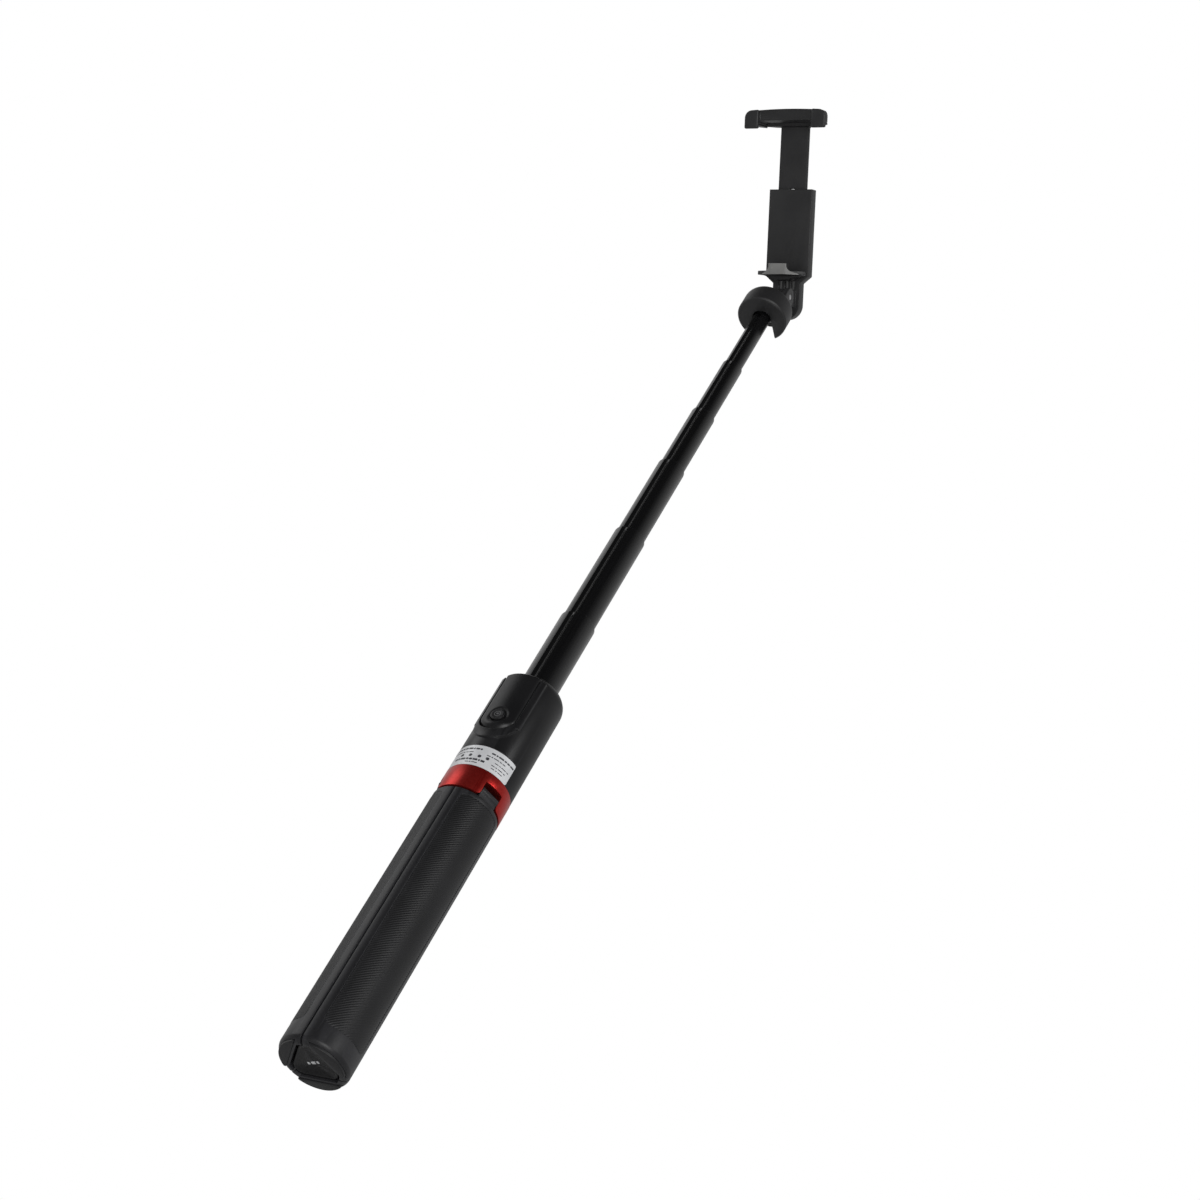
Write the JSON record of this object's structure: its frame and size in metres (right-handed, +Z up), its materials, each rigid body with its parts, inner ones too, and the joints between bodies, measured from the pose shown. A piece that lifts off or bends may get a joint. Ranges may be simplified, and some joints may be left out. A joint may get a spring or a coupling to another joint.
{
  "type": "selfie stick",
  "caption": "Telescoping phone stick whose split handle opens into a tripod, with a tilting spring phone clamp and a slide-out shutter remote.",
  "frame": {"origin": "centre of the foot plane, on the stick's axis, legs folded", "axes": "+Z up the stick to the clamp, -Y the front with the remote, +X to the right seen from the front"},
  "size_m": [0.047, 0.1041, 0.6224],
  "materials": {
    "satin_black": "satin moulded plastic",
    "charcoal": "fine matt moulded plastic",
    "grip_rubber": "matt ribbed rubber",
    "tube_black": "gloss black",
    "red_anodised": "satin red",
    "pin_steel": "turned",
    "label_silver": "satin silver",
    "spring_steel": "bright wire"
  },
  "bodies": {
    "handle": {"housing": "satin_black", "collar": "red_anodised", "fixed_tube": "tube_black", "mouth_bush": "satin_black", "label_plate": "label_silver", "leg_hinge_pins": "pin_steel"},
    "leg_1": {"leg_shell_1": "charcoal", "leg_grip_1": "grip_rubber", "foot_pad_1": "grip_rubber", "leg_strut_pin_1": "pin_steel"},
    "leg_2": {"leg_shell_2": "charcoal", "leg_grip_2": "grip_rubber", "foot_pad_2": "grip_rubber", "leg_strut_pin_2": "pin_steel"},
    "leg_3": {"leg_shell_3": "charcoal", "leg_grip_3": "grip_rubber", "foot_pad_3": "grip_rubber", "leg_strut_pin_3": "pin_steel"},
    "strut_arm_1": {"strut_1": "satin_black", "hub_strut_pin_1": "pin_steel"},
    "strut_arm_2": {"strut_2": "satin_black", "hub_strut_pin_2": "pin_steel"},
    "strut_arm_3": {"strut_3": "satin_black", "hub_strut_pin_3": "pin_steel"},
    "hub": {"hub_sleeve": "satin_black", "push_cap": "charcoal"},
    "section_1": {"tube_1": "tube_black", "tube_end_plug_1": "satin_black", "tube_mouth_liner_1": "satin_black"},
    "section_2": {"tube_2": "tube_black", "tube_end_plug_2": "satin_black", "tube_mouth_liner_2": "satin_black"},
    "section_3": {"tube_3": "tube_black", "tube_end_plug_3": "satin_black", "tube_mouth_liner_3": "satin_black"},
    "section_4": {"tube_4": "tube_black", "tube_end_plug_4": "satin_black", "tube_mouth_liner_4": "satin_black"},
    "section_5": {"tube_5": "tube_black", "tube_end_plug_5": "satin_black", "tube_mouth_liner_5": "satin_black"},
    "section_6": {"tube_6": "tube_black", "tube_end_plug_6": "satin_black", "tube_mouth_liner_6": "satin_black"},
    "swivel": {"swivel_knuckle": "satin_black"},
    "head": {"tilt_cup": "charcoal", "tilt_pin": "pin_steel", "clamp_mount": "charcoal", "fold_pin": "pin_steel"},
    "clamp": {"clamp_base": "charcoal", "lower_jaw": "charcoal", "lower_jaw_pad": "grip_rubber", "jaw_spring": "spring_steel"},
    "upper_jaw": {"clamp_slider": "charcoal", "upper_jaw_pads": "grip_rubber"},
    "remote": {"remote_front": "satin_black", "remote_back": "satin_black", "coin_cell": "pin_steel"},
    "button": {"shutter_button": "charcoal"}
  },
  "joints": [
    {"name": "leg_1_open", "type": "hinge", "parent": "handle", "child": "leg_1", "pos_m": [0.01091, -0.0063, 0.144], "axis": [-0.5, -0.866, 0], "range_deg": [0, 52]},
    {"name": "leg_2_open", "type": "hinge", "parent": "handle", "child": "leg_2", "pos_m": [0, 0.0126, 0.144], "axis": [1, 0, 0], "range_deg": [0, 52]},
    {"name": "leg_3_open", "type": "hinge", "parent": "handle", "child": "leg_3", "pos_m": [-0.01091, -0.0063, 0.144], "axis": [-0.5, 0.866, 0], "range_deg": [0, 52]},
    {"name": "strut_1_turn", "type": "hinge", "parent": "leg_1", "child": "strut_arm_1", "pos_m": [0.01091, -0.0063, 0.108], "axis": [-0.5, -0.866, 0], "range_deg": [-104, 0]},
    {"name": "strut_2_turn", "type": "hinge", "parent": "leg_2", "child": "strut_arm_2", "pos_m": [0, 0.0126, 0.108], "axis": [1, 0, 0], "range_deg": [-104, 0]},
    {"name": "strut_3_turn", "type": "hinge", "parent": "leg_3", "child": "strut_arm_3", "pos_m": [-0.01091, -0.0063, 0.108], "axis": [-0.5, 0.866, 0], "range_deg": [-104, 0]},
    {"name": "hub_slide", "type": "slide", "parent": "handle", "child": "hub", "axis": [0, 0, 1], "range_m": [0, 0.02769]},
    {"name": "section_1_slide", "type": "slide", "parent": "handle", "child": "section_1", "axis": [0, 0, 1], "range_m": [-0.0455, 0.105]},
    {"name": "section_2_slide", "type": "slide", "parent": "section_1", "child": "section_2", "axis": [0, 0, 1], "range_m": [-0.0615, 0.084]},
    {"name": "section_3_slide", "type": "slide", "parent": "section_2", "child": "section_3", "axis": [0, 0, 1], "range_m": [-0.053, 0.085]},
    {"name": "section_4_slide", "type": "slide", "parent": "section_3", "child": "section_4", "axis": [0, 0, 1], "range_m": [-0.0425, 0.089]},
    {"name": "section_5_slide", "type": "slide", "parent": "section_4", "child": "section_5", "axis": [0, 0, 1], "range_m": [-0.041, 0.083]},
    {"name": "section_6_slide", "type": "slide", "parent": "section_5", "child": "section_6", "axis": [0, 0, 1], "range_m": [-0.031, 0.086]},
    {"name": "head_pan", "type": "hinge", "parent": "section_6", "child": "swivel", "pos_m": [0, 0, 0.515], "axis": [0, 0, 1], "continuous": true},
    {"name": "head_tilt", "type": "hinge", "parent": "swivel", "child": "head", "pos_m": [0, 0, 0.529], "axis": [-1, 0, 0], "range_deg": [0, 90]},
    {"name": "clamp_fold", "type": "hinge", "parent": "head", "child": "clamp", "pos_m": [0, 0, 0.544], "axis": [1, 0, 0], "range_deg": [-30, 36]},
    {"name": "jaw_slide", "type": "slide", "parent": "clamp", "child": "upper_jaw", "axis": [0, -0.809, 0.5878], "range_m": [-0.018, 0.012]},
    {"name": "remote_slide", "type": "slide", "parent": "handle", "child": "remote", "axis": [0, 0, 1], "range_m": [0, 0.038]},
    {"name": "shutter_press", "type": "slide", "parent": "remote", "child": "button", "axis": [0, 1, 0], "range_m": [0, 0.0004], "stiffness_N_per_m": 300}
  ],
  "couplings": [
    {"joint": "leg_2_open", "follows": "leg_1_open", "ratio": 1},
    {"joint": "leg_3_open", "follows": "leg_1_open", "ratio": 1},
    {"joint": "strut_1_turn", "follows": "leg_1_open", "ratio": -2},
    {"joint": "strut_2_turn", "follows": "leg_1_open", "ratio": -2},
    {"joint": "strut_3_turn", "follows": "leg_1_open", "ratio": -2},
    {"joint": "hub_slide", "follows": "leg_1_open", "m_per_rad": 0.030491}
  ]
}
